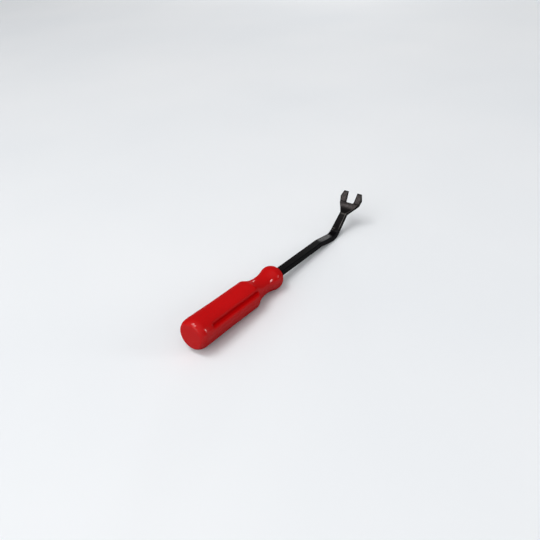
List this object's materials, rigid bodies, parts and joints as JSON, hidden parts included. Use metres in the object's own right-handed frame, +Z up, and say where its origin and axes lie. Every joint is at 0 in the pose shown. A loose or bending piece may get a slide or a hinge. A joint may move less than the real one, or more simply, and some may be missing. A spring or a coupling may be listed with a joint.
{
  "type": "trim removal tool",
  "caption": "Hand lever with a fluted, waisted plastic handle and a cranked black steel bar that ends in a raised, slotted fork for lifting trim clips.",
  "frame": {"origin": "on the surface the tool lies on, under the middle of its length", "axes": "+X from the butt to the fork, +Z up, the bar bends in the XZ plane"},
  "size_m": [0.2312, 0.026, 0.0314],
  "materials": {
    "handle_plastic": "smooth moulded red plastic with a soft gloss",
    "blade_steel": "black coated steel, satin, with faintly worn edges"
  },
  "bodies": {
    "root": {"handle": "handle_plastic", "forked_blade": "blade_steel"}
  },
  "joints": []
}
